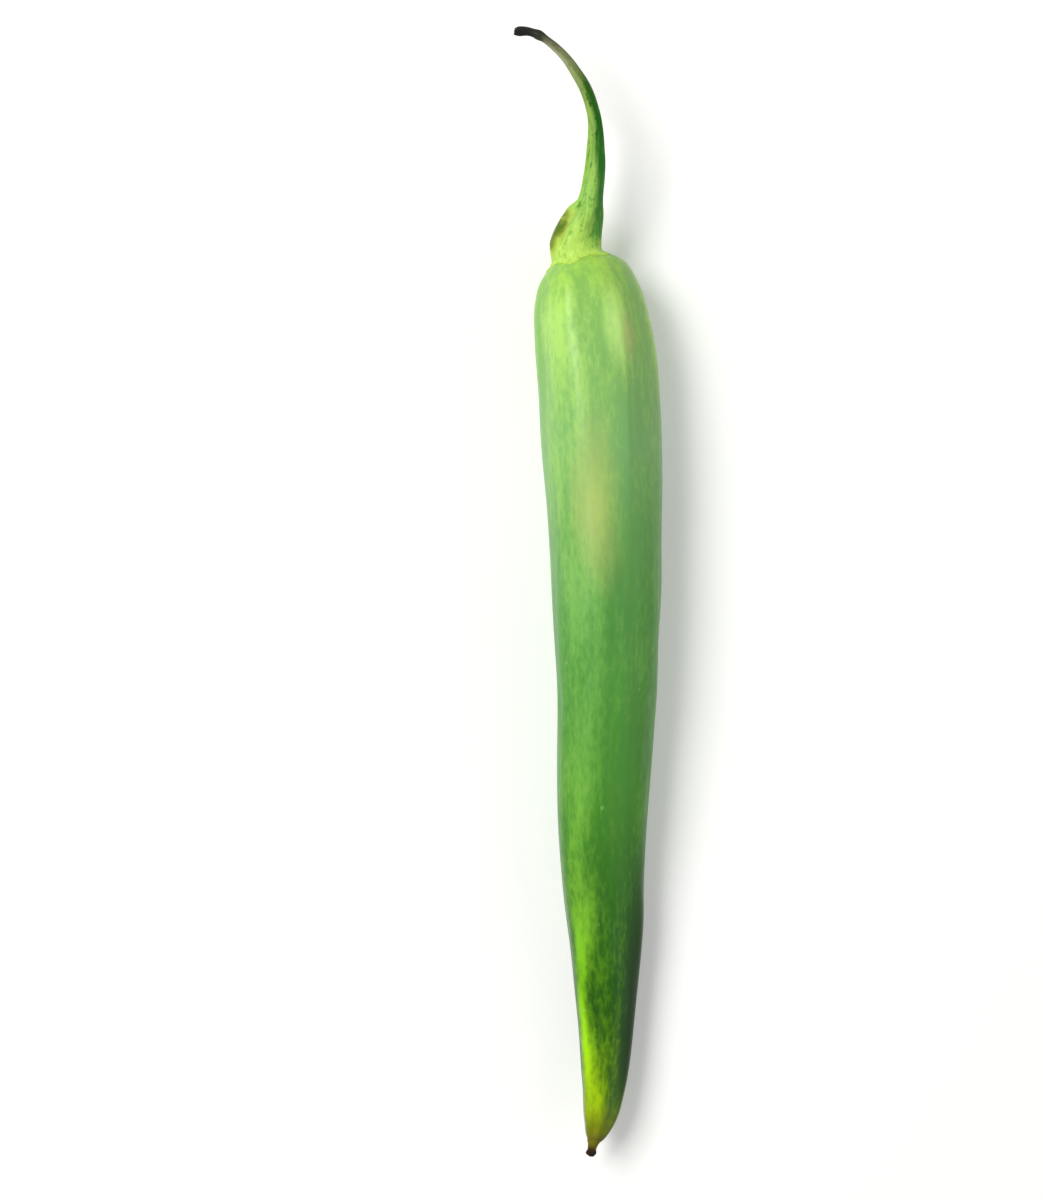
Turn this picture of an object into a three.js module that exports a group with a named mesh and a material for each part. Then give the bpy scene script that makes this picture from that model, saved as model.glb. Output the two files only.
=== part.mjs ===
// A fresh long green chili pepper, as picked, lying on its side: the pod, the calyx that caps its shoulder,
// the curved stem, and the dried remnant of the style at the pod's point.
// Millimetres, +Z up. The stem points along +Y and the pod's point along -Y. The origin is on the surface
// that the pepper lies on, under the middle of the pepper.

import * as THREE from "three";

// Driving dimensions
const POD_LENGTH = 98.5; // from the point to the shoulder, measured along Y
const POD_RADIUS = 6.7; // where the pod is widest, a sixth of the way down from the shoulder
const LOBE_DEPTH = 0.045; // how far the blunt lobes stand out, as a share of the radius
const LOBE_TWIST = THREE.MathUtils.degToRad(38); // the lobes turn this much between shoulder and point
const CALYX_RADIUS = 3.15; // at the rim, between the teeth
const TOOTH_REACH = 0.45; // how far each tooth of the calyx stands out past the rim
const TOOTH_DROOP = 0.6; // and how far it dips towards the shoulder, as a share of its reach
const STEM_FOOT_RADIUS = 1.25;
const STEM_NECK_RADIUS = 0.4; // the thinnest place, below the swollen end
const STEM_END_RADIUS = 0.5;
const STYLE_RADIUS = 0.36;
const STYLE_LENGTH = 1.2;
const GAP = 0.3; // between neighbouring pieces

const LOBES = 3;
const CALYX_TEETH = 5;
const POD_SIDES = 44;
const CALYX_SIDES = 40;
const STEM_SIDES = 16;
const STYLE_SIDES = 12;
const UP = new THREE.Vector3(0, 0, 1);

// A smooth curve through points that each give [x, y, z].
function spineThrough(points) {
  return new THREE.CatmullRomCurve3(
    points.map((point) => new THREE.Vector3(...point)),
    false,
    "centripetal",
  );
}

// A smooth outline through points that each give [height along the axis, radius], as [height, radius] pairs.
function outlineThrough(points, stepsPerSpan) {
  const curve = spineThrough(points.map(([height, radius]) => [radius, height, 0]));
  const steps = stepsPerSpan * (points.length - 1);
  return curve.getPoints(steps).map(({ x, y }) => [y, Math.max(x, 0)]);
}

// Where a spine is at a height, and which way it and its section face there. Past an end it runs on straight.
function placeOn(spine, height) {
  const length = spine.getLength();
  const share = THREE.MathUtils.clamp(height / length, 0, 1);
  const along = spine.getTangentAt(share);
  const across = new THREE.Vector3().crossVectors(along, UP).normalize();
  const upward = new THREE.Vector3().crossVectors(across, along);
  const centre = spine.getPointAt(share).addScaledVector(along, height - share * length);
  return { centre, along, across, upward };
}

// Revolves an outline, reshapes each point of the straight solid, and then bends its axis along the spine.
function solidOn(spine, outline, sides, reshape = () => {}) {
  const geometry = new THREE.LatheGeometry(
    outline.map(([height, radius]) => new THREE.Vector2(radius, height)),
    sides,
  );
  const position = geometry.getAttribute("position");
  const point = new THREE.Vector3();
  for (let i = 0; i < position.count; i++) {
    point.fromBufferAttribute(position, i);
    reshape(point);
    const { centre, across, upward } = placeOn(spine, point.y);
    centre.addScaledVector(across, point.x).addScaledVector(upward, point.z);
    position.setXYZ(i, centre.x, centre.y, centre.z);
  }
  geometry.computeVertexNormals();
  return geometry;
}

// A point's angle round the axis, from straight up towards +X.
function angleOf(point) {
  return Math.atan2(point.x, point.z);
}

// The pod's spine, from the point to the shoulder: [x, share of the pod's length, z]. It sways a little, its
// point hooks to one side, and it is as high as its own thickness needs where the pod lies on the surface.
const podSpine = spineThrough(
  [
    [0.8, 0.0, 4.6],
    [1.5, 0.03, 4.1],
    [2.0, 0.085, 3.65],
    [2.0, 0.18, 3.5],
    [1.75, 0.28, 3.9],
    [1.7, 0.36, 4.5],
    [2.1, 0.52, 5.6],
    [1.95, 0.67, 6.1],
    [1.35, 0.82, 6.25],
    [0.7, 0.91, 6.3],
    [-0.15, 0.965, 6.45],
    [-0.95, 1.0, 6.6],
  ].map(([x, share, z]) => [x, share * POD_LENGTH, z]),
);

// The pod's outline, from the point to the shoulder: [share of the spine's length, share of the radius].
const podOutline = outlineThrough(
  [
    [0.0, 0.0],
    [0.002, 0.085],
    [0.02, 0.225],
    [0.065, 0.345],
    [0.14, 0.455],
    [0.23, 0.59],
    [0.34, 0.715],
    [0.5, 0.83],
    [0.7, 0.94],
    [0.83, 1.0],
    [0.91, 0.955],
    [0.957, 0.84],
    [0.985, 0.64],
    [0.996, 0.36],
    [1.0, 0.0],
  ].map(([share, radius]) => [share * podSpine.getLength(), radius * POD_RADIUS]),
  4,
);

// Nothing reaches below the surface: where the weight of the pepper presses on it, the skin is flat.
function pressOnSurface(geometry) {
  const position = geometry.getAttribute("position");
  for (let i = 0; i < position.count; i++) {
    position.setZ(i, Math.max(position.getZ(i), 0));
  }
  return geometry;
}

// A long blunt cone with soft lobes, one of them uppermost, so that it lies on the flatter side between the
// other two. Towards the point the lobes turn to the side that the stem bends to.
function makePod() {
  const length = podSpine.getLength();
  const geometry = solidOn(podSpine, podOutline, POD_SIDES, (point) => {
    const turned = -LOBE_TWIST * (1 - point.y / length);
    const swell = 1 + LOBE_DEPTH * Math.cos(LOBES * (angleOf(point) - turned));
    point.set(point.x * swell, point.y, point.z * swell);
  });
  return pressOnSurface(geometry);
}

// The stem's spine, from its foot above the calyx to its free end: it rises off the shoulder and bends over
// to one side.
const stemSpine = spineThrough([
  [0.55, 104.5, 7.4],
  [1.08, 109.6, 8.1],
  [0.73, 114.1, 8.6],
  [-1.3, 118.15, 9.0],
  [-3.85, 120.9, 9.3],
  [-6.0, 122.1, 9.45],
  [-7.95, 122.2, 9.5],
]);

// The calyx's spine joins the pod's shoulder to the stem's foot, and leaves each along its own direction.
function calyxSpineBetween(pod, stem) {
  const from = placeOn(pod, pod.getLength());
  const to = placeOn(stem, -GAP);
  const handle = from.centre.distanceTo(to.centre) / 4;
  return new THREE.CubicBezierCurve3(
    from.centre,
    from.centre.clone().addScaledVector(from.along, handle),
    to.centre.clone().addScaledVector(to.along, -handle),
    to.centre,
  );
}

// A bell-shaped cap, hollow underneath to fit the shoulder, with a toothed rim, drawn in to the stem's foot.
function makeCalyx() {
  const spine = calyxSpineBetween(podSpine, stemSpine);
  const height = spine.getLength();
  const shoulder = podSpine.getLength();
  const underside = podOutline
    .filter(([, radius]) => radius < CALYX_RADIUS)
    .filter(([along]) => along > shoulder / 2)
    .map(([along, radius]) => [along - shoulder + GAP, radius])
    .reverse();
  const flank = outlineThrough(
    [
      [-0.5, CALYX_RADIUS],
      [0.0, CALYX_RADIUS],
      [0.28 * height, 0.9 * CALYX_RADIUS],
      [0.62 * height, 0.7 * CALYX_RADIUS],
      [0.85 * height, 0.48 * CALYX_RADIUS],
      [height, 1.08 * STEM_FOOT_RADIUS],
    ],
    5,
  );
  return solidOn(spine, [...underside, ...flank, [height, 0]], CALYX_SIDES, (point) => {
    const outward = new THREE.Vector3(point.x, 0, point.z);
    const nearRim = THREE.MathUtils.smoothstep(outward.length(), 0.7 * CALYX_RADIUS, CALYX_RADIUS);
    const tooth = Math.max(0, Math.cos(CALYX_TEETH * angleOf(point)));
    const reach = TOOTH_REACH * tooth * nearRim;
    point.add(outward.setLength(reach));
    point.y -= TOOTH_DROOP * reach;
  });
}

// A slender stalk that tapers up from its foot and swells a little where it broke off the plant.
function makeStem() {
  const length = stemSpine.getLength();
  const side = outlineThrough(
    [
      [0, STEM_FOOT_RADIUS],
      [0.13 * length, 0.8 * STEM_FOOT_RADIUS],
      [0.3 * length, 0.58 * STEM_FOOT_RADIUS],
      [0.52 * length, 0.48 * STEM_FOOT_RADIUS],
      [0.68 * length, 0.4 * STEM_FOOT_RADIUS],
      [0.84 * length, STEM_NECK_RADIUS],
      [0.92 * length, STEM_NECK_RADIUS],
      [0.975 * length, STEM_END_RADIUS],
      [length, 0.8 * STEM_END_RADIUS],
    ],
    5,
  );
  return solidOn(stemSpine, [[0, 0], ...side, [length, 0]], STEM_SIDES);
}

// A short dry point that carries on where the pod ends.
function makeStyleTip() {
  const tip = placeOn(podSpine, 0);
  const spine = new THREE.LineCurve3(
    tip.centre.clone().addScaledVector(tip.along, -GAP - STYLE_LENGTH),
    tip.centre.clone().addScaledVector(tip.along, -GAP),
  );
  return solidOn(
    spine,
    [
      [0, 0],
      [0, 0.45 * STYLE_RADIUS],
      [0.6 * STYLE_LENGTH, 0.8 * STYLE_RADIUS],
      [STYLE_LENGTH, STYLE_RADIUS],
      [STYLE_LENGTH, 0],
    ],
    STYLE_SIDES,
  );
}

function makeMesh(name, geometry, color, roughness) {
  const material = new THREE.MeshStandardMaterial({ color, roughness, metalness: 0 });
  const mesh = new THREE.Mesh(geometry, material);
  mesh.name = name;
  return mesh;
}

const chili = new THREE.Group();
chili.name = "chili_pepper";
chili.add(
  makeMesh("pod", makePod(), 0x3f7d2c, 0.32),
  makeMesh("calyx", makeCalyx(), 0x7f9a3c, 0.55),
  makeMesh("stem", makeStem(), 0x5f7a35, 0.6),
  makeMesh("style_tip", makeStyleTip(), 0x4a3320, 0.85),
);

// The middle of the pepper's box comes over the origin.
const middle = new THREE.Box3().setFromObject(chili, true).getCenter(new THREE.Vector3());
chili.position.set(-middle.x, -middle.y, 0);

export default chili;
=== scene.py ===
"""A fresh long green chili pepper, as picked, lying on a pale surface: pod, calyx, stem and dried style."""

import math
import random

import bpy
import numpy as np
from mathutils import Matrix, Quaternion, Vector, noise


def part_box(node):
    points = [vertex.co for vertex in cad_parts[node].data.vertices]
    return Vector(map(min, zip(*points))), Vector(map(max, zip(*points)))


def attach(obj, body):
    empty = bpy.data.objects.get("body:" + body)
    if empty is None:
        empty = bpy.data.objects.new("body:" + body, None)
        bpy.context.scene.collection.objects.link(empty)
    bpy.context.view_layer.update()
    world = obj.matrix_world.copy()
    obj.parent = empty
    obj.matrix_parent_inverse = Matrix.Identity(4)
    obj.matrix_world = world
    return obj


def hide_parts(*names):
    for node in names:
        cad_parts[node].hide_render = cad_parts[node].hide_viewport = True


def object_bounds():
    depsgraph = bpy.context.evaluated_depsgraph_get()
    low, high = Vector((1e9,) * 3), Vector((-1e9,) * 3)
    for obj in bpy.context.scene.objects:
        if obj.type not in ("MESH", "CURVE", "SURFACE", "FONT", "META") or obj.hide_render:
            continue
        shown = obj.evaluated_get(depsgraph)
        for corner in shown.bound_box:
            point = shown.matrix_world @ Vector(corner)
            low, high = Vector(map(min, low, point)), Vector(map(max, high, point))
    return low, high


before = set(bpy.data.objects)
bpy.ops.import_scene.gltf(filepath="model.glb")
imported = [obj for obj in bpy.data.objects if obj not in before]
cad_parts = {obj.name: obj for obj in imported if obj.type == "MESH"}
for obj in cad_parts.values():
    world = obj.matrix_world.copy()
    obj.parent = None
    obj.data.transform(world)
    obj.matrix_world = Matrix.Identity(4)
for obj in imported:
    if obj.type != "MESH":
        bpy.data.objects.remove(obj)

cad_low, cad_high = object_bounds()


# ---------------------------------------------------------------------------------------------------------
# The camera looks straight down on the pepper, stem uppermost, through a portrait lens. The pepper lies a
# little to the right of the middle of its view.

pepper_length = cad_high.y - cad_low.y
view_height = 1.063 * pepper_length
view_aside = 0.0585 * pepper_length  # how far the view's middle lies to the left of the pepper's
view_down = 0.0033 * pepper_length  # and how far below it
lens = 90.0
film = 36.0  # the film's longer side, which is the height of the view

camera_height = view_height * lens / film + cad_high.z / 2
bpy.ops.object.camera_add(location=(-view_aside, -view_down, camera_height), rotation=(0, 0, 0))
camera = bpy.context.object
camera.name = "camera"
camera.data.lens = lens
camera.data.sensor_width = film
camera.data.clip_start = 0.01
camera.data.clip_end = 10.0
bpy.context.scene.camera = camera


# ---------------------------------------------------------------------------------------------------------
# The pod is a hollow berry grown as one piece: a long blunt cone of waxy green skin with three soft lobes,
# finer ridges under the shoulder, shallow dents, and a point that hooks to one side. It lies on the flatter
# side between two of its lobes.

mm = 0.001
pod_low, pod_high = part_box("pod")
shoulder_tilt = 0.2 * mm  # the tilted shoulder stands this far past the end of the spine
pod_length = pod_high.y - pod_low.y - shoulder_tilt
pod_axis = 1.003 * pod_length  # the spine sways, so it is a little longer than the pod
pod_radius = (pod_high.z - pod_low.z) / 2
pod_middle = (pod_low.x + pod_high.x) / 2
pod_sides = 96
pod_step = 0.7 * mm

# Share of the pod's length from the point, and share of its radius there.
pod_outline = [
    (0.0, 0.03),
    (0.002, 0.085),
    (0.02, 0.225),
    (0.065, 0.345),
    (0.14, 0.455),
    (0.23, 0.59),
    (0.34, 0.715),
    (0.5, 0.83),
    (0.7, 0.94),
    (0.83, 1.0),
    (0.91, 0.955),
    (0.957, 0.84),
    (0.985, 0.64),
    (0.996, 0.36),
    (1.0, 0.03),
]

# The line that the pod's axis follows: millimetres to the right of its box's middle, share of its length
# from the point, and millimetres up.
pod_knots = [
    (-0.5, 0.0, 4.6),
    (0.2, 0.03, 4.1),
    (0.7, 0.085, 3.65),
    (0.7, 0.18, 3.5),
    (0.45, 0.28, 3.9),
    (0.4, 0.36, 4.5),
    (0.8, 0.52, 5.6),
    (0.65, 0.67, 6.1),
    (0.05, 0.82, 6.3),
    (-0.6, 0.91, 6.3),
    (-1.45, 0.965, 6.45),
    (-2.25, 1.0, 6.6),
]


def smooth_line(points, step):
    """Points about a step apart on a smooth line through the given points."""
    points = np.array(points, float)
    spans = np.linalg.norm(np.diff(points, axis=0), axis=1)
    slopes = np.diff(points, axis=0) / spans[:, None]
    before, after = spans[:-1, None], spans[1:, None]
    bends = (slopes[:-1] * after + slopes[1:] * before) / (before + after)
    headings = np.vstack([slopes[:1], bends, slopes[-1:]])
    line = []
    for i, span in enumerate(spans):
        for t in np.linspace(0, 1, max(1, math.ceil(span / step)), endpoint=False):
            start = (2 * t**3 - 3 * t**2 + 1) * points[i] + (t**3 - 2 * t**2 + t) * span * headings[i]
            end = (3 * t**2 - 2 * t**3) * points[i + 1] + (t**3 - t**2) * span * headings[i + 1]
            line.append(start + end)
    return [*line, points[-1]]


def loft(name, sides, sections):
    """A straight solid along +X, top up: a ring, extruded and scaled through sections of (place, radius)."""
    (place, radius), *others = sections
    bpy.ops.object.select_all(action="DESELECT")
    bpy.ops.mesh.primitive_circle_add(
        vertices=sides,
        radius=radius,
        fill_type="NGON",
        location=(place, 0, 0),
        rotation=(0, math.pi / 2, 0),
    )
    piece = bpy.context.object
    piece.name = piece.data.name = name
    bpy.ops.object.transform_apply(location=True, rotation=True, scale=True)
    bpy.ops.object.mode_set(mode="EDIT")
    bpy.ops.mesh.select_all(action="SELECT")
    for next_place, next_radius in others:
        bpy.ops.mesh.extrude_region_move(TRANSFORM_OT_translate={"value": (next_place - place, 0, 0)})
        grow = next_radius / radius
        bpy.ops.transform.resize(value=(1, grow, grow), center_override=(next_place, 0, 0))
        place, radius = next_place, next_radius
    bpy.ops.mesh.select_all(action="SELECT")
    bpy.ops.mesh.normals_make_consistent(inside=False)
    bpy.ops.object.mode_set(mode="OBJECT")
    bpy.ops.object.shade_smooth()
    return piece


def finish_with(piece, kind, **settings):
    """Adds a modifier to a piece and applies it."""
    bpy.ops.object.select_all(action="DESELECT")
    piece.select_set(True)
    bpy.context.view_layer.objects.active = piece
    bpy.ops.object.modifier_add(type=kind)
    modifier = piece.modifiers[-1]
    for name, value in settings.items():
        setattr(modifier, name, value)
    bpy.ops.object.modifier_apply(modifier=modifier.name)


def bend_along(piece, points):
    """Bends a straight solid so that its axis follows a smooth curve through points, its top kept up."""
    bpy.ops.object.select_all(action="DESELECT")
    bpy.ops.curve.primitive_bezier_curve_add(location=(0, 0, 0))
    spine = bpy.context.object
    spine.data.dimensions = "3D"
    spine.data.twist_mode = "Z_UP"
    spine.data.resolution_u = 64
    knots = spine.data.splines[0].bezier_points
    knots.add(len(points) - len(knots))
    for knot, point in zip(knots, points):
        knot.co = point
        knot.handle_left_type = knot.handle_right_type = "AUTO"
    finish_with(piece, "CURVE", object=spine, deform_axis="POS_X")
    bpy.data.objects.remove(spine)


def keep(piece, name, values):
    """Keeps a value or a vector of each vertex as an attribute that a material can read."""
    values = np.array(values, np.float32)
    kind, field = ("FLOAT_VECTOR", "vector") if values.ndim == 2 else ("FLOAT", "value")
    piece.data.attributes.new(name, kind, "POINT").data.foreach_set(field, values.ravel())


def ease(low, high, value):
    """0 below low, 1 above high, and a smooth change between them."""
    t = min(max((value - low) / (high - low), 0.0), 1.0)
    return t * t * (3 - 2 * t)


def bell(off, half_width):
    """1 in the middle, and falling off smoothly: about a third at its half width."""
    return math.exp(-((off / half_width) ** 2))


def read_off(course, place):
    """The values that a course, a list of rows of (place, values), has at a place on it."""
    places, *columns = zip(*course)
    return [float(np.interp(place, places, column)) for column in columns]


def rough_at(place, along, across):
    """Noise from -1 to 1 at a place, its grains this long along a straight piece and this wide across it."""
    x, y, z = place
    return noise.noise((x / along, y / across, z / across))


pod_sections = smooth_line(
    [(share * pod_axis, radius * pod_radius) for share, radius in pod_outline],
    pod_step,
)
pod = loft("pod_skin", pod_sides, pod_sections)
finish_with(pod, "SUBSURF", levels=1, render_levels=1)

# The skin's relief, worked while the pod is still straight: x runs along it, +y is its left and +z its top.
# An angle is measured round it from the top towards the right. Depths without mm are shares of the radius.
lobes = 3
lobe_lean = math.radians(-12)  # the uppermost lobe is a little left of the top at the shoulder
lobe_turn = math.radians(34)  # and turns this much further to the left on its way to the point
lobe_depth = 0.07
lobe_depth_gain = 0.1  # how much deeper the lobes get towards the point
lobe_sharpness_gain = 1.8  # and how much sharper
shoulder_ridges = 6
shoulder_ridge_turn = math.radians(-34)
shoulder_ridge_depth = 0.02
swells = 9  # broad uneven swells along the pod
swell_depth = 0.025
streak_depth = 0.04 * mm
furrow_depth = 0.16 * mm
dice = random.Random(11)

# The uppermost lobe carries a pale stripe, partly lime in its own colour and partly a painted highlight on
# its lit left side. Share of the pod's length, the stripe's angle and its half width in degrees, and its
# strength. The lobe to its left has one as well, at half the strength.
stripe_and_highlight_course = [
    (0.0, -20, 60, 0.7),
    (0.06, -32, 26, 1.0),
    (0.11, -42, 18, 1.0),
    (0.15, -46, 16, 1.0),
    (0.185, -43, 15, 0.9),
    (0.235, -32, 15, 0.95),
    (0.29, -34, 25, 0.6),
    (0.5, -38, 40, 0.45),
    (0.75, -31, 34, 0.65),
    (1.0, -32, 38, 0.65),
]
second_stripe = 0.5


def scattered(count, narrowest, widest, lowest, highest):
    """Spots, each with its share of the pod's length, angle, half width and height. Sizes come in mm."""
    spots = []
    for _ in range(count):
        place = (dice.uniform(0.08, 0.97), dice.uniform(-math.pi, math.pi))
        spots.append((*place, dice.uniform(narrowest, widest) * mm, dice.uniform(lowest, highest) * mm))
    return spots


def raised_by(spots, share, angle, radius):
    """How far spots, each three times as long as it is wide, lift the skin at a place."""
    rise = 0.0
    for spot_share, spot_angle, half_width, height in spots:
        along = (share - spot_share) * pod_axis / (3 * half_width)
        if abs(along) < 2:
            around = math.remainder(angle - spot_angle, 2 * math.pi) * radius / half_width
            rise += height * math.exp(-(along * along + around * around))
    return rise


def raised_by_lobes(share, angle):
    """How far the lobes lift the skin at a place."""
    depth = lobe_depth + lobe_depth_gain * (1 - ease(0.1, 0.45, share))
    sharp = 1.0 + lobe_sharpness_gain * (1 - ease(0.15, 0.5, share))
    crest = (0.5 + 0.5 * math.cos(lobes * (angle - lobe_lean + lobe_turn * (1 - share)))) ** sharp
    mean_crest = 0.5 / sharp**0.5  # nearly, and taken off so that the pod stays as thick as it was
    return depth * (crest - mean_crest)


def lime_and_painted_light_at(share, degrees, ridge, grain):
    """The skin's colour at a place, with painted highlight and shade: 1 is lime, 0 is deep green, and below
    0 it darkens towards black.
    """
    stripe_angle, half_width, strength = read_off(stripe_and_highlight_course, share)
    next_lobe = stripe_angle - 360 / lobes
    # The stripes are partly the lobes' own lime and partly painted highlight.
    stripes_and_highlight = 0.0
    for angle, its_strength in ((stripe_angle, strength), (next_lobe, second_stripe * strength)):
        stripes_and_highlight += its_strength * bell(math.remainder(degrees - angle, 360), half_width)

    # The ridges under the shoulder are lime as well, and less so right below the calyx. This lime is partly
    # painted highlight on the ridges.
    under_shoulder = ease(0.81, 0.9, share) * (1 - 0.5 * ease(0.93, 0.98, share))
    ridge_lime_and_highlight = 0.9 * under_shoulder * (0.5 + 0.5 * ridge) ** 1.5

    # Towards the point the top is painted a little lighter, a painted sheen, and the right flank darker,
    # partly a deeper green and partly painted shade.
    painted_top_light = 0.18 * bell(degrees + 8, 38) * (1 - ease(0.2, 0.32, share))
    right_flank = ease(28, 66, degrees) * (1 - ease(90, 165, degrees))
    deep_flank_and_shade = 0.5 * right_flank * ease(0.03, 0.09, share) * (1 - ease(0.2, 0.4, share))
    return max(stripes_and_highlight, ridge_lime_and_highlight) * (1 + 0.5 * grain) + painted_top_light - deep_flank_and_shade


blisters = scattered(70, narrowest=0.9, widest=1.8, lowest=0.03, highest=0.1)
dents = scattered(50, narrowest=0.5, widest=1.3, lowest=-0.11, highest=-0.03)
relief_painted_light = 2.5  # how much lighter a blister, and darker a dent, is painted for each millimetre of its height

straight = []
limes_and_painted_light = []
for vertex in pod.data.vertices:
    x, y, z = vertex.co
    share = x / pod_axis
    radius = math.hypot(y, z)
    angle = math.atan2(-y, z)
    ridge = math.cos(shoulder_ridges * (angle - shoulder_ridge_turn))
    swell = swell_depth * noise.noise((swells * share, 0.8 * math.sin(angle), 0.8 * math.cos(angle)))
    grain = rough_at(vertex.co, 9 * mm, 0.8 * mm)
    furrow = rough_at(vertex.co, 20 * mm, 2.6 * mm)
    rise = raised_by(blisters, share, angle, radius) + raised_by(dents, share, angle, radius)
    straight.append((x, y, z))
    lime = lime_and_painted_light_at(share, math.degrees(angle), ridge, grain)
    # Blisters are painted lighter and dents darker: painted highlight and painted shade on the relief.
    limes_and_painted_light.append(lime + relief_painted_light * ease(0.25, 0.5, share) * rise / mm)

    # The end of the shoulder stays round, under the calyx, and so do both of the pod's ends at the axis.
    ridging = shoulder_ridge_depth * ease(0.6, 0.93, share) * ridge
    broad_relief = raised_by_lobes(share, angle) + ridging + swell
    fine_relief = streak_depth * grain + furrow_depth * furrow + rise
    grow = 1 + broad_relief * (1 - ease(0.975, 0.99, share))
    grow += fine_relief / max(radius, 1.5 * mm) * ease(0.0, 1.0 * mm, radius)
    vertex.co.y *= grow
    vertex.co.z *= grow
keep(pod, "straight", straight)
# The lime attribute holds painted highlight and painted shade as well as the skin's own lime.
keep(pod, "lime", limes_and_painted_light)

pod_spine = [
    Vector((pod_middle + x * mm, pod_low.y + share * pod_length, z * mm)) for x, share, z in pod_knots
]
bend_along(pod, pod_spine)
press = 0.03 * mm  # how gradually the underside flattens where it meets the surface
for vertex in pod.data.vertices:
    vertex.co.z = (vertex.co.z + math.hypot(vertex.co.z, 2 * press)) / 2


def linear(colour):
    """An sRGB hex colour as linear RGBA."""
    values = [int(colour[i : i + 2], 16) / 255 for i in (1, 3, 5)]
    return [*(v / 12.92 if v <= 0.04045 else ((v + 0.055) / 1.055) ** 2.4 for v in values), 1.0]


def add(tree, kind, inputs=None, stops=None, **settings):
    """Adds a node with its settings. Inputs are values, nodes or outputs, and stops are a colour ramp's."""
    node = tree.nodes.new("ShaderNode" + kind)
    for name, value in settings.items():
        setattr(node, name, value)
    if stops:
        ramp = node.color_ramp.elements
        ramp[0].position, ramp[-1].position = stops[0][0], stops[-1][0]
        for place, _ in stops[1:-1]:
            ramp.new(place)
        for element, (_, colour) in zip(ramp, stops):
            element.color = linear(colour)
    for name, value in (inputs or {}).items():
        sockets = [socket for socket in node.inputs if socket.enabled]
        socket = sockets[name] if isinstance(name, int) else next(s for s in sockets if s.name == name)
        if isinstance(value, bpy.types.Node):
            value = next(s for s in value.outputs if s.enabled)
        if isinstance(value, bpy.types.NodeSocket):
            tree.links.new(value, socket)
        else:
            socket.default_value = value
    return node


def new_material(name):
    """A material with no nodes in it yet."""
    material = bpy.data.materials.new(name)
    material.use_nodes = True
    material.node_tree.nodes.clear()
    return material


def grained(tree, place, along, across, detail, roughness=0.5):
    """Noise for a material, its grains this long along a piece and this wide across it."""
    stretched = add(tree, "Mapping", {"Vector": place, "Scale": (1 / along, 1 / across, 1 / across)})
    grains = {"Vector": stretched, "Scale": 1.0, "Detail": detail, "Roughness": roughness}
    return add(tree, "TexNoise", grains)


# Chili skin is a smooth cuticle of wax over green flesh: a soft clear gloss on a deep colour that the light
# goes into a little. It is lime where the flesh is thin or stretched, on the ridges and near the calyx. Part
# of that lime, on the stripes, ridges and blisters, is painted highlight, and the right flank near the point
# and the dents carry painted shade.
skin = new_material("Waxy chili skin")
tree = skin.node_tree
place = add(tree, "Attribute", attribute_name="straight").outputs["Vector"]
lime_and_painted_light = add(tree, "Attribute", attribute_name="lime").outputs["Fac"]
share = add(tree, "VectorMath", {0: place, 1: (1 / pod_axis, 0, 0)}, operation="DOT_PRODUCT")
share = share.outputs["Value"]

# Both greens change from the dried point to the shoulder, by the share of the pod's length.
deep_green = add(
    tree,
    "ValToRGB",
    {"Fac": share},
    stops=[
        (0.0, "#4a3a12"),
        (0.014, "#5c6c06"),
        (0.05, "#2e5e00"),
        (0.12, "#184e00"),
        (0.18, "#165000"),
        (0.26, "#27640e"),
        (0.4, "#458a28"),
        (0.6, "#539640"),
        (0.7, "#69a555"),
        (0.78, "#7db56b"),
        (0.93, "#8abf60"),
        (1.0, "#88be50"),
    ],
)
lime_green = add(
    tree,
    "ValToRGB",
    {"Fac": share},
    stops=[
        (0.0, "#6a5a20"),
        (0.014, "#8c920a"),
        (0.05, "#b2d804"),
        (0.12, "#a4e40c"),
        (0.18, "#84cc0c"),
        (0.25, "#80c22c"),
        (0.45, "#74b048"),
        (0.6, "#7cb858"),
        (0.8, "#a0d06c"),
        (0.93, "#b2e26e"),
        (1.0, "#a2d048"),
    ],
)

# Streaks about 1 mm across run along the skin, over a broader unevenness and between finer flecks. They
# show more towards the shoulder.
nearly_all = {"From Min": 0.3, "From Max": 0.7}  # the range of nearly all of a noise's values
streaks = grained(tree, place, 14 * mm, 1.1 * mm, 3.0, 0.55)
streaks = add(tree, "MapRange", {"Value": streaks, **nearly_all})
broad = grained(tree, place, 12 * mm, 4 * mm, 2.0)
broad = add(tree, "MapRange", {"Value": broad, **nearly_all, "To Min": -0.3, "To Max": 0.2})
flecks = grained(tree, place, 1.2 * mm, 0.45 * mm, 3.0, 0.6)
flecks = add(tree, "MapRange", {"Value": flecks, **nearly_all, "To Min": -0.3, "To Max": 0.2})
uneven = add(tree, "Math", {0: streaks, 1: 0.35, 2: broad}, operation="MULTIPLY_ADD")
uneven = add(tree, "Math", {0: uneven, 1: flecks}, operation="ADD")
contrast = add(
    tree,
    "MapRange",
    {"Value": share, "From Min": 0.1, "From Max": 0.95, "To Min": 0.65, "To Max": 1.5},
)
uneven = add(tree, "Math", {0: uneven, 1: contrast}, operation="MULTIPLY")
amount = add(tree, "Math", {0: lime_and_painted_light, 1: 0.85, 2: uneven}, operation="MULTIPLY_ADD")
amount = add(
    tree,
    "MapRange",
    {"Value": amount, "From Min": -0.1, "From Max": 1.2},
    interpolation_type="SMOOTHSTEP",
)
green = add(tree, "Mix", {"Factor": amount, "A": deep_green, "B": lime_green}, data_type="RGBA")

# On the right flank near the point, and in the dents, the green is painted nearly black: partly a deeper
# green and partly painted shade.
black_and_painted_shade = add(tree, "MapRange", {"Value": lime_and_painted_light, "From Min": -0.05, "From Max": -0.5, "To Max": 0.65})
green = add(tree, "Mix", {"Factor": black_and_painted_shade, "A": green, "B": linear("#082200")}, data_type="RGBA")
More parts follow.
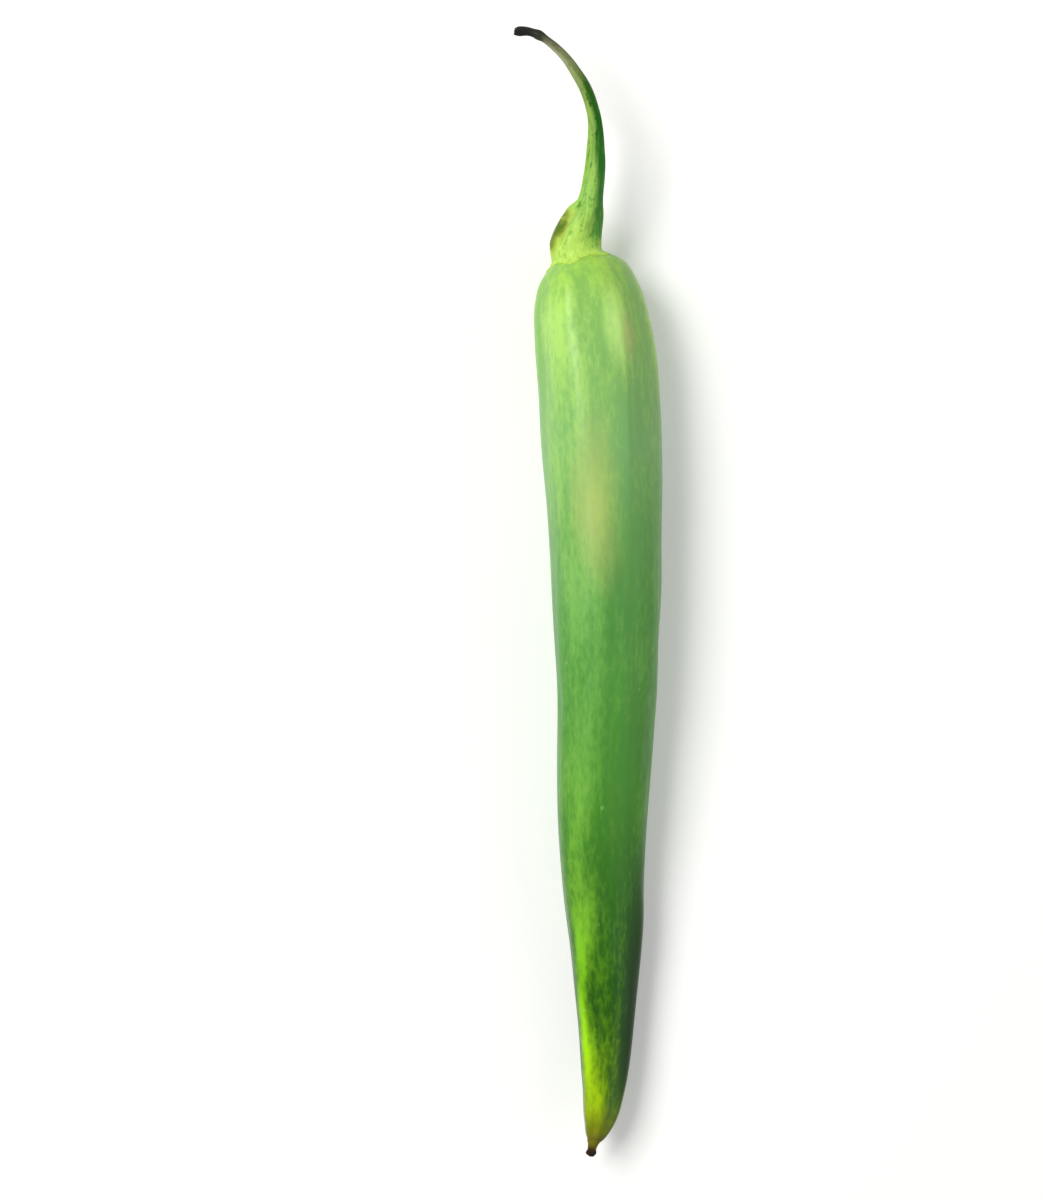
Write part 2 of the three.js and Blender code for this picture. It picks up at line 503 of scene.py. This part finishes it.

# The ridge has begun to turn in a dull yellow patch, and the skin is rubbed tan under the shoulder. A pale
# lime spot on the shoulder is a painted highlight. Each mark's centre, how far it reaches along, across and
# up, its colour and its strength. The broad unevenness makes its edge ragged.
marks_and_highlight = [
    ((0.72 * pod_axis, 0.9 * mm, 6.1 * mm), (9.5 * mm, 2.6 * mm, 2.2 * mm), "#bcca70", 0.65),
    # a painted highlight on the shoulder's left, not a mark on the skin
    ((0.915 * pod_axis, -2.5 * mm, 5.8 * mm), (4.4 * mm, 1.5 * mm, 1.8 * mm), "#ccf890", 0.7),
    ((0.9 * pod_axis, -3.9 * mm, 5.0 * mm), (2.8 * mm, 1.2 * mm, 1.6 * mm), "#bcb874", 0.5),
]
for centre, reach, colour, strength in marks_and_highlight:
    mark = add(tree, "VectorMath", {0: place, 1: centre}, operation="SUBTRACT")
    mark = add(tree, "VectorMath", {0: mark, 1: tuple(1 / length for length in reach)}, operation="MULTIPLY")
    mark = add(tree, "VectorMath", {0: mark}, operation="LENGTH").outputs["Value"]
    mark = add(tree, "Math", {0: broad, 1: 0.8, 2: mark}, operation="MULTIPLY_ADD")
    mark = add(tree, "MapRange", {"Value": mark, "From Min": 1.15, "From Max": 0.1, "To Max": strength})
    green = add(tree, "Mix", {"Factor": mark, "A": green, "B": linear(colour)}, data_type="RGBA")

# A few pores show as pale specks, the widest about 0.4 mm across.
pores = add(tree, "TexVoronoi", {"Vector": place, "Scale": 1 / (1.9 * mm)}).outputs
specks = add(tree, "Math", {0: pores["Color"], 1: 0.22, 2: pores["Distance"]}, operation="MULTIPLY_ADD")
specks = add(tree, "MapRange", {"Value": specks, "From Min": 0.17, "From Max": 0.05, "To Max": 0.4})
green = add(tree, "Mix", {"Factor": specks, "A": green, "B": linear("#b7df84")}, data_type="RGBA")

# The skin's cells are too fine to show, so its roughness is drawn as bumps half a millimetre wide.
peel = add(tree, "TexNoise", {"Vector": place, "Scale": 1 / (0.5 * mm), "Detail": 2.0})
relief = add(tree, "Math", {0: streaks, 1: 0.6, 2: peel}, operation="MULTIPLY_ADD")
relief = add(tree, "Bump", {"Height": relief, "Strength": 0.3, "Distance": 0.05 * mm})
wax = add(
    tree,
    "BsdfPrincipled",
    {
        "Base Color": green,
        "Normal": relief,
        "Roughness": 0.31,
        "IOR": 1.4,
        "Specular IOR Level": 0.25,
        "Subsurface Weight": 0.12,
        "Subsurface Radius": (0.4, 1.0, 0.15),
        "Subsurface Scale": 1.0 * mm,
    },
)
add(tree, "OutputMaterial", {"Surface": wax})
pod.data.materials.append(skin)

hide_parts("pod")
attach(pod, "root")


# ---------------------------------------------------------------------------------------------------------
# The calyx is the leafy cup that held the flower, one growth with the stem. Five ribs run down it from the
# stem's foot, and each ends in a short blunt tooth that lies on the shoulder, dry and olive at its edge.
# It bulges to the side that the stem bends to. It is worked as one sheet, which then gets its thickness.

stem_low, stem_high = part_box("stem")
shoulder = pod_spine[-1]
outward = (pod_spine[-1] - pod_spine[-2]).normalized()

# The stem's own line: millimetres to the right of its box's lowest corner, share of the box's length from
# there, and millimetres up.
stem_knots = [
    (8.5, 0.012, 1.25),
    (9.03, 0.289, 1.95),
    (8.63, 0.533, 2.45),
    (6.65, 0.753, 2.85),
    (4.1, 0.902, 3.15),
    (1.95, 0.968, 3.3),
    (0.03, 0.973, 3.35),
]
stem_spine = [
    stem_low + Vector((x * mm, share * (stem_high.y - stem_low.y), z * mm)) for x, share, z in stem_knots
]
stalk_spine = [shoulder, *stem_spine]

calyx_height = (stem_spine[0] - shoulder).length
calyx_radius = 0.47 * pod_radius
calyx_thickness = 0.2 * mm
calyx_sides = 80
calyx_step = 0.3 * mm
teeth = 5
rim_rib_turn = math.radians(-14)  # at the rim the uppermost rib leans to the left
stem_rib_turn = math.radians(14)  # and at the stem's foot to the right
rib_depth = 0.05  # share of the radius
fibre_depth = 0.03 * mm
tooth_reach = 0.8 * mm
tooth_unevenness = 0.35
stem_foot_radius = 0.19 * pod_radius

# The shoulder's shape: radius, and how far below the pod's end it is there.
falling = [
    (radius, pod_axis - place) for place, radius in reversed(pod_sections) if place > 0.9 * pod_axis
]


def shoulder_fall(radius):
    """How far below its end the pod's shoulder is at a radius."""
    return read_off(falling, radius)[0]


flank = smooth_line(
    [
        (-shoulder_fall(calyx_radius), calyx_radius),
        (-0.05 * calyx_height, 0.91 * calyx_radius),
        (0.1 * calyx_height, 0.83 * calyx_radius),
        (0.21 * calyx_height, 0.76 * calyx_radius),
        (0.4 * calyx_height, 0.67 * calyx_radius),
        (0.58 * calyx_height, 0.61 * calyx_radius),
        (0.78 * calyx_height, 1.29 * stem_foot_radius),
        (0.89 * calyx_height, 1.14 * stem_foot_radius),
        (1.0 * calyx_height, 1.035 * stem_foot_radius),
        (1.1 * calyx_height, 0.985 * stem_foot_radius),
        (1.2 * calyx_height, 0.95 * stem_foot_radius),
    ],
    calyx_step,
)
top = (1.22 * calyx_height, 0.85 * stem_foot_radius)  # it ends out of sight, inside the stem's foot
calyx = loft("calyx_cup", calyx_sides, [*flank, top])

# The cup is open underneath, so the face across its rim goes.
bpy.ops.object.mode_set(mode="EDIT")
bpy.ops.mesh.select_mode(type="FACE")
bpy.ops.mesh.select_all(action="DESELECT")
bpy.ops.object.mode_set(mode="OBJECT")
for face in calyx.data.polygons:
    face.select = len(face.vertices) > 4 and face.center.x < 0
bpy.ops.object.mode_set(mode="EDIT")
bpy.ops.mesh.delete(type="FACE")
bpy.ops.mesh.select_mode(type="VERT")
bpy.ops.object.mode_set(mode="OBJECT")
finish_with(calyx, "SUBSURF", levels=1, render_levels=1)

# The stalk leans away from the way that the pod's shoulder faces, so the foot of the cup turns to sit on it.
lead = (stem_spine[0] - shoulder).normalized()
left = Vector((0, 0, 1)).cross(lead).normalized()
shoulder_faces = Vector((outward.dot(lead), outward.dot(left), outward.dot(lead.cross(left))))
upright = Quaternion()
seat = Vector((1, 0, 0)).rotation_difference(shoulder_faces)

# Share of the cup's height, and how far its left side bulges there, in millimetres.
bulge_course = [
    (-0.13, 0.0),
    (0.1, 0.6),
    (0.2, 0.9),
    (0.3, 0.9),
    (0.58, 0.62),
    (0.72, 0.55),
    (0.9, 0.0),
]
bulge_side = -1.45  # radians round from the top

# The bulge is olive in one soft patch.
patch_side = -74  # degrees round from the top
patch_width = 44  # from its middle to its edge, in degrees
patch_place = 0.4  # share of the cup's height
patch_height = 0.46  # from its middle to its edge, as a share of the cup's height
patch_raggedness = 16  # degrees
rim_dryness = 0.25
shaded_side = math.radians(110)  # where the cup and the foot of the stem are the deepest green, partly painted shade


def green_and_painted_shade(rib, angle, most_shaded):
    """From 0, pale, to 1, deep green, partly painted shade: deeper between two ribs, and most about the
    angle called most_shaded.
    """
    side = ease(-0.5, 0.8, math.cos(angle - most_shaded))
    return 0.15 * (1 - rib) * (0.4 + 0.6 * side) + 0.8 * side


straight = []
depths_and_shade = []
oliveness = []
resting = calyx.vertex_groups.new(name="resting")  # the rim and teeth, which lie on the shoulder
for vertex in calyx.data.vertices:
    x, y, z = vertex.co
    height = x / calyx_height
    radius = math.hypot(y, z)
    out = radius / calyx_radius
    angle = math.atan2(-y, z)
    rib_turn = rim_rib_turn + (stem_rib_turn - rim_rib_turn) * ease(0.0, 1.0, height)
    rib = math.cos(teeth * (angle - rib_turn))
    tooth = (0.5 + 0.5 * rib) ** 1.4
    tooth *= 1 + tooth_unevenness * noise.noise((math.sin(angle), math.cos(angle), 5.0))
    bulge = read_off(bulge_course, height)[0] * mm * max(0.0, math.cos(angle - bulge_side)) ** 1.3
    flute = rib_depth * rib * ease(0.0, 0.3, height)
    fibre = fibre_depth * rough_at(vertex.co, 3 * mm, 0.35 * mm)
    new_radius = radius * (1 + flute) + bulge + tooth_reach * tooth * ease(0.86, 1.0, out) + fibre

    # Near the rim it stays as high above the shoulder as it was, and so follows it down as it widens.
    above = x + shoulder_fall(radius)
    x += (above - shoulder_fall(new_radius) - x) * ease(0.8, 0.95, out)
    centre = Vector((max(x, 0), 0, 0))
    widen = new_radius / max(radius, 0.1 * mm)
    off_centre = Vector((x, y * widen, z * widen)) - centre
    vertex.co = centre + upright.slerp(seat, 1 - ease(0.0, 0.55, height)) @ off_centre

    ragged = patch_raggedness * noise.noise((x / (1.6 * mm), 2 * angle, 1.0))
    round_patch = (math.degrees(angle) - patch_side - ragged) / patch_width
    up_patch = (height - patch_place) / patch_height
    patch = 1 - ease(0.15, 1.05, math.hypot(round_patch, up_patch))
    straight.append((x, y, z))
    # Deeper green between the ribs and on the right side, partly painted shade.
    depths_and_shade.append(ease(-0.15, 0.35, height) * green_and_painted_shade(rib, angle, shaded_side))
    oliveness.append(max(rim_dryness * ease(0.9, 1.0, out), patch))
    resting.add([vertex.index], ease(0.82, 0.97, out), "REPLACE")
keep(calyx, "straight", straight)
keep(calyx, "depth", depths_and_shade)
keep(calyx, "oliveness", oliveness)
bend_along(calyx, stalk_spine)
finish_with(
    calyx,
    "SHRINKWRAP",
    target=pod,
    wrap_mode="ABOVE_SURFACE",
    offset=0.5 * calyx_thickness,
    vertex_group="resting",
)
finish_with(calyx, "SOLIDIFY", thickness=calyx_thickness, offset=-1)


def fibrous_green(tree, place, share, pale, deep):
    """The fibres that run along green tissue, and its colour. Its pale and deep greens change along it."""
    fibres = grained(tree, place, 5 * mm, 0.35 * mm, 3.0, 0.6)
    flecks = grained(tree, place, 0.9 * mm, 0.4 * mm, 2.0)
    flecks = add(tree, "MapRange", {"Value": flecks, "From Min": 0.55, "From Max": 0.75, "To Max": 0.7})
    # The depth attribute is deeper green between the ribs and on one side, partly painted shade.
    depth = add(tree, "Attribute", attribute_name="depth").outputs["Fac"]
    depth = add(tree, "Math", {0: depth, 1: flecks}, operation="ADD")
    amount = add(tree, "Math", {0: fibres, 1: 1.4, 2: depth}, operation="MULTIPLY_ADD")
    amount = add(tree, "MapRange", {"Value": amount, "From Min": 0.5, "From Max": 1.6})
    pale = add(tree, "ValToRGB", {"Fac": share}, stops=pale)
    deep = add(tree, "ValToRGB", {"Fac": share}, stops=deep)
    return fibres, add(tree, "Mix", {"Factor": amount, "A": pale, "B": deep}, data_type="RGBA")


def finish_leafy(tree, green, fibres):
    """Gives leafy tissue its surface: dull, raised along its fibres, and lit a little from within."""
    relief = add(tree, "Bump", {"Height": fibres, "Strength": 0.5, "Distance": 0.08 * mm})
    leaf = add(
        tree,
        "BsdfPrincipled",
        {
            "Base Color": green,
            "Normal": relief,
            "Roughness": 0.52,
            "IOR": 1.45,
            "Specular IOR Level": 0.22,
            "Subsurface Weight": 0.08,
            "Subsurface Radius": (0.5, 1.0, 0.2),
            "Subsurface Scale": 0.6 * mm,
        },
    )
    add(tree, "OutputMaterial", {"Surface": leaf})


# A leafy rind, duller than the pod because it has little wax: yellow-green at the rim and as green as the
# stem at its foot, deeper green between its ribs and on its right side, partly painted shade, and olive at
# its dry rim and in a patch on its bulge.
rind = new_material("Leafy calyx rind")
tree = rind.node_tree
place = add(tree, "Attribute", attribute_name="straight").outputs["Vector"]
oliveness = add(tree, "Attribute", attribute_name="oliveness").outputs["Fac"]
height = add(tree, "VectorMath", {0: place, 1: (1 / calyx_height, 0, 0)}, operation="DOT_PRODUCT")
fibres, green = fibrous_green(
    tree,
    place,
    height.outputs["Value"],
    [(0.0, "#c6ec68"), (0.4, "#b8e260"), (1.0, "#a0d25c")],
    [(0.0, "#7ab048"), (0.4, "#4c8c30"), (1.0, "#2c7820")],
)
blotch = add(tree, "TexNoise", {"Vector": place, "Scale": 1 / (1.1 * mm), "Detail": 3.0})
blotch = add(
    tree,
    "MapRange",
    {"Value": blotch, "From Min": 0.3, "From Max": 0.6, "To Min": 0.5, "To Max": 1.2},
)
olive_amount = add(tree, "Math", {0: oliveness, 1: blotch}, operation="MULTIPLY")
olive = add(tree, "ValToRGB", {"Fac": olive_amount}, stops=[(0.2, "#b8c440"), (0.5, "#869426"), (0.9, "#4c6810")])
olive_amount = add(tree, "MapRange", {"Value": olive_amount, "From Min": 0.05, "From Max": 0.6, "To Max": 0.95})
green = add(tree, "Mix", {"Factor": olive_amount, "A": green, "B": olive}, data_type="RGBA")
finish_leafy(tree, green, fibres)
calyx.data.materials.append(rind)

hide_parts("calyx")
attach(calyx, "root")


# ---------------------------------------------------------------------------------------------------------
# The stem is the flower's own stalk, green and fibrous, and ribbed as the calyx is. It tapers as it bends
# over, has a knuckle just before its end, and ends in the dark swollen scar where it broke off the plant.

def length_through(points):
    """How long a smooth line through points is."""
    line = np.array(smooth_line(points, 0.2 * mm))
    return float(np.linalg.norm(np.diff(line, axis=0), axis=1).sum())


stem_length = length_through(stem_spine)
stem_sides = 40
stem_step = 0.3 * mm

# Share of the stem's length from its foot, and share of its foot's radius.
stem_outline = [
    (-0.01, 0.9),
    (0.01, 0.965),
    (0.03, 0.98),
    (0.06, 0.965),
    (0.13, 0.9),
    (0.225, 0.78),
    (0.3, 0.69),
    (0.36, 0.62),
    (0.42, 0.57),
    (0.52, 0.53),
    (0.65, 0.45),
    (0.78, 0.37),
    (0.85, 0.36),
    (0.875, 0.44),
    (0.9, 0.37),
    (0.94, 0.4),
    (0.965, 0.44),
    (0.985, 0.4),
    (0.996, 0.31),
    (1.0, 0.22),
]
stem_twist = math.radians(-85)  # how far its ribs turn from foot to end
shade_turn = math.radians(-35)  # and how far its deepest green, partly painted shade, turns, soon after the foot
stem_rib_depth = 0.055  # share of the radius, at its foot
stem_fibre_depth = 0.05 * mm
scar_depth = 0.2 * mm
tear_depth = 0.12 * mm
side = smooth_line(
    [(share * stem_length, radius * stem_foot_radius) for share, radius in stem_outline],
    stem_step,
)
scar = (stem_length - scar_depth, 0.1 * stem_foot_radius)
stem = loft("stem_stalk", stem_sides, [*side, scar])
finish_with(stem, "SUBSURF", levels=1, render_levels=1)

straight = []
depths_and_shade = []
for vertex in stem.data.vertices:
    x, y, z = vertex.co
    share = x / stem_length
    radius = math.hypot(y, z)
    angle = math.atan2(-y, z)
    rib = math.cos(teeth * (angle - stem_rib_turn - stem_twist * share))
    flute = stem_rib_depth * (1 - 0.5 * share) * rib
    roughest = 0.5 + 1.5 * ease(0.8, 1.0, share)  # where it is dry
    fibre = stem_fibre_depth * roughest * rough_at(vertex.co, 2.2 * mm, 0.3 * mm)
    torn = tear_depth * ease(0.97, 1.0, share) * ease(0.0, 0.05 * mm, radius)  # none right at the axis
    torn *= noise.noise((5 * angle / math.pi, radius / (0.2 * mm), 3.0))
    grow = 1 + flute + fibre / max(radius, 0.3 * mm)
    straight.append((calyx_height + x, y, z))
    # Deeper green between the ribs and on the right side, partly painted shade.
    depths_and_shade.append(green_and_painted_shade(rib, angle, shaded_side + shade_turn * ease(0.03, 0.25, share)))
    vertex.co = (calyx_height + x + torn, y * grow, z * grow)
keep(stem, "straight", straight)
keep(stem, "depth", depths_and_shade)
bend_along(stem, stalk_spine)

# A fibrous green stalk: dull, pale on its ribs and darker between them and on its right side, partly painted
# shade, turning olive and then nearly black where it has dried from the break.
stalk = new_material("Fibrous green stalk")
tree = stalk.node_tree
place = add(tree, "Attribute", attribute_name="straight").outputs["Vector"]
share = add(tree, "VectorMath", {0: place, 1: (1, 0, 0)}, operation="DOT_PRODUCT").outputs["Value"]
share = add(
    tree,
    "MapRange",
    {"Value": share, "From Min": calyx_height, "From Max": calyx_height + stem_length},
)
blotch = add(tree, "TexNoise", {"Vector": place, "Scale": 1 / (1.6 * mm), "Detail": 3.0})
blotch = add(tree, "MapRange", {"Value": blotch, **nearly_all, "To Min": -0.04, "To Max": 0.04})
share = add(tree, "Math", {0: share, 1: blotch}, operation="ADD")
fibres, green = fibrous_green(
    tree,
    place,
    share,
    [
        (0.04, "#a0d25c"),
        (0.15, "#a0c856"),
        (0.35, "#9cc056"),
        (0.56, "#88a64a"),
        (0.63, "#98ac68"),
        (0.74, "#a8aa84"),
        (0.8, "#8c8c6c"),
        (0.85, "#3a402c"),
        (0.9, "#1a1c12"),
        (1.0, "#0a0b07"),
    ],
    [
        (0.04, "#2c7820"),
        (0.15, "#186c0a"),
        (0.35, "#0e5a00"),
        (0.56, "#245200"),
        (0.63, "#5c7034"),
        (0.74, "#72744c"),
        (0.8, "#5c5a40"),
        (0.85, "#1e2416"),
        (1.0, "#060704"),
    ],
)
finish_leafy(tree, green, fibres)
stem.data.materials.append(stalk)

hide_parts("stem")
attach(stem, "root")


# ---------------------------------------------------------------------------------------------------------
# The style tip is what is left of the flower's style: a short stub that grows out of the pod's point, still
# olive where it leaves the flesh, and dry, dark and shrunken at its end.

style_low, style_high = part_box("style_tip")
style_radius = (style_high.x - style_low.x) / 2
style_sides = 20
style_step = 0.06 * mm
point = pod_spine[0]
onward = (pod_spine[0] - pod_spine[1]).normalized()
style_reach = point.y - style_low.y

# It grows out of the flesh along the pod's own line, and then withers away from it, down to its box's end.
style_spine = [
    point - 1.0 * mm * onward,
    point + 0.1 * mm * onward,
    Vector((style_low.x + 0.9 * style_radius, point.y - 0.55 * style_reach, 0.98 * point.z)),
    Vector((style_low.x + 0.7 * style_radius, style_low.y + 0.05 * mm, 0.96 * point.z)),
]
style_length = length_through(style_spine)
style_ribs = 4
style_rib_depth = 0.12  # share of the radius, as the next is
wither_depth = 0.3

# Share of the style's length from inside the flesh, and share of its radius.
style_outline = [
    (0.0, 2.2),
    (0.25, 1.9),
    (0.42, 1.5),
    (0.6, 1.25),
    (0.78, 1.35),
    (0.92, 1.1),
    (1.0, 0.2),
]
stub = smooth_line(
    [(share * style_length, radius * style_radius) for share, radius in style_outline],
    style_step,
)
style = loft("style_remnant", style_sides, stub)
finish_with(style, "SUBSURF", levels=1, render_levels=1)

straight = []
for vertex in style.data.vertices:
    x, y, z = vertex.co
    angle = math.atan2(-y, z)
    flute = style_rib_depth * math.cos(style_ribs * angle + 5 * x / style_length)  # its ribs are twisted
    wither = wither_depth * rough_at(vertex.co, 0.4 * mm, 0.25 * mm)
    grow = 1 + (flute + wither) * ease(0.2, 0.6, x / style_length)
    vertex.co.y *= grow
    vertex.co.z *= grow
    straight.append((x, y, z))
keep(style, "straight", straight)
bend_along(style, style_spine)

# Dead plant tissue, dry and matt: olive and then brown near the flesh, near black at the end.
dead = new_material("Dried style")
tree = dead.node_tree
place = add(tree, "Attribute", attribute_name="straight").outputs["Vector"]
fibres = grained(tree, place, 0.8 * mm, 0.12 * mm, 3.0)
along = add(tree, "VectorMath", {0: place, 1: (1 / style_length, 0, 0)}, operation="DOT_PRODUCT")
along = add(tree, "Math", {0: fibres, 1: -0.2, 2: along.outputs["Value"]}, operation="MULTIPLY_ADD")
brown = add(
    tree,
    "ValToRGB",
    {"Fac": along},
    stops=[(0.3, "#6a6a10"), (0.42, "#5c4e14"), (0.52, "#33220f"), (0.8, "#160e08")],
)
relief = add(tree, "Bump", {"Height": fibres, "Strength": 0.7, "Distance": 0.05 * mm})
husk = add(
    tree,
    "BsdfPrincipled",
    {"Base Color": brown, "Normal": relief, "Roughness": 0.8, "IOR": 1.45, "Specular IOR Level": 0.2},
)
add(tree, "OutputMaterial", {"Surface": husk})
style.data.materials.append(dead)

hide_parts("style_tip")
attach(style, "root")


# ---------------------------------------------------------------------------------------------------------
# The floor is a wide sheet of matt white card, lit from the upper left by a large soft box and from the
# right by a weaker one, under a pale surround. The surround looks white, and so does the card, which grows
# whiter away from the pepper so that it ends in no horizon.

floor_size = 6.0
bpy.ops.object.select_all(action="DESELECT")
bpy.ops.mesh.primitive_plane_add(size=floor_size, location=(0, 0, 0))
floor = bpy.context.object
floor.name = floor.data.name = "floor"


def seen_directly(tree):
    """1 where the camera sees a thing itself or its reflection, and 0 where the thing only lights others."""
    path = add(tree, "LightPath").outputs
    seen = add(tree, "Math", {0: path["Is Camera Ray"], 1: path["Is Glossy Ray"]}, operation="MAXIMUM")
    return add(tree, "Math", {0: seen, 1: path["Is Transmission Ray"]}, operation="MAXIMUM")


card = new_material("Matt white card")
tree = card.node_tree
matt = add(tree, "BsdfDiffuse", {"Color": linear("#e9e9e6")})
away = add(tree, "TexCoord").outputs["Object"]
away = add(tree, "VectorMath", {0: away}, operation="LENGTH").outputs["Value"]

# The card's own glow makes it look white. It is least near the pepper, so that the shadow stays.
lift = add(
    tree,
    "MapRange",
    {"Value": away, "From Min": 0.1, "From Max": 0.5, "To Min": 0.24, "To Max": 1.0},
)
lift = add(tree, "Math", {0: seen_directly(tree), 1: lift}, operation="MULTIPLY")
lift = add(tree, "Emission", {"Color": (1, 1, 1, 1), "Strength": lift})
both = add(tree, "AddShader", {0: matt, 1: lift})
add(tree, "OutputMaterial", {"Surface": both})
floor.data.materials.append(card)


def soft_box(name, side, distance, place, power):
    """A square lamp that faces the pepper's middle, sized in metres, its power in watts."""
    place = distance * Vector(place).normalized()
    bpy.ops.object.light_add(type="AREA", location=place, rotation=place.to_track_quat("Z", "Y").to_euler())
    lamp = bpy.context.object
    lamp.name = name
    lamp.data.shape = "SQUARE"
    lamp.data.size = side
    lamp.data.energy = power


soft_box("key", side=0.5, distance=1.0, place=(-0.55, 0.3, 0.85), power=8.7)
soft_box("fill", side=0.9, distance=1.2, place=(0.9, -0.2, 0.6), power=2.2)

# White where it is seen, and weaker where it only lights the pepper.
world = bpy.data.worlds.new("surround")
bpy.context.scene.world = world
world.use_nodes = True
tree = world.node_tree
tree.nodes.clear()
strength = add(tree, "MapRange", {"Value": seen_directly(tree), "To Min": 0.29, "To Max": 1.0})
light = add(tree, "Background", {"Color": (1, 1, 1, 1), "Strength": strength})
add(tree, "OutputWorld", {"Surface": light})

bpy.context.scene.view_settings.view_transform = "Standard"
